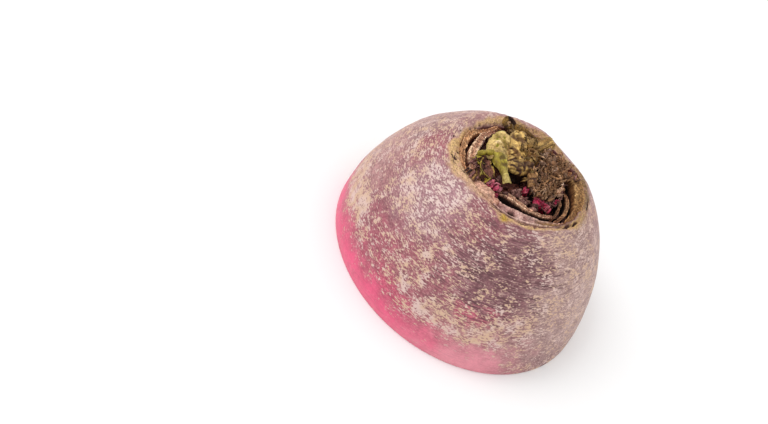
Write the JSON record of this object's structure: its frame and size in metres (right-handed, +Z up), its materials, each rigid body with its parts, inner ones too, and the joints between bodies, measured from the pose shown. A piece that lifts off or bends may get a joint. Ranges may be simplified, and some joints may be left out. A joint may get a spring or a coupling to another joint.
{
  "type": "radish half",
  "caption": "Top half of a red-fleshed radish standing on its flat cut face, with mottled mauve and beige skin and dried leaf bases in the hollow at its top.",
  "frame": {"origin": "middle of the cut face, which is the plane Z = 0", "axes": "+Z up along the root's axis towards the crown; -Y is the side of the crown with the wide lip's end and the cut stalk ends"},
  "size_m": [0.0814, 0.084, 0.0426],
  "materials": {
    "root": "mottled mauve and beige skin, satin; the cut face is moist magenta flesh",
    "leaf_base": "dry, corky and matt",
    "dry_leaf": "dry, fibrous and matt",
    "stalk": "dull, ribbed",
    "leaf": "soft, slightly waxy",
    "cut_flesh": "moist, satin"
  },
  "bodies": {
    "root": {"root_half": "root", "outer_leaf_base_1": "leaf_base", "outer_leaf_base_2": "leaf_base", "outer_leaf_base_3": "leaf_base", "outer_leaf_base_4": "leaf_base", "outer_leaf_base_5": "leaf_base", "middle_leaf_base_1": "leaf_base", "middle_leaf_base_2": "leaf_base", "middle_leaf_base_3": "leaf_base", "inner_leaf_base_1": "leaf_base", "inner_leaf_base_2": "leaf_base", "young_leaf": "leaf", "pale_stalk_stub": "stalk", "folded_leaf_base": "stalk", "far_stalk_stub": "stalk", "heart_bud": "dry_leaf", "fibrous_leaf_base_1": "dry_leaf", "fibrous_leaf_base_2": "dry_leaf", "fibrous_leaf_base_3": "dry_leaf", "curled_leaf_tip": "dry_leaf", "cut_stalk_end_1": "cut_flesh", "cut_stalk_end_2": "cut_flesh", "cut_stalk_end_3": "cut_flesh"}
  },
  "joints": []
}
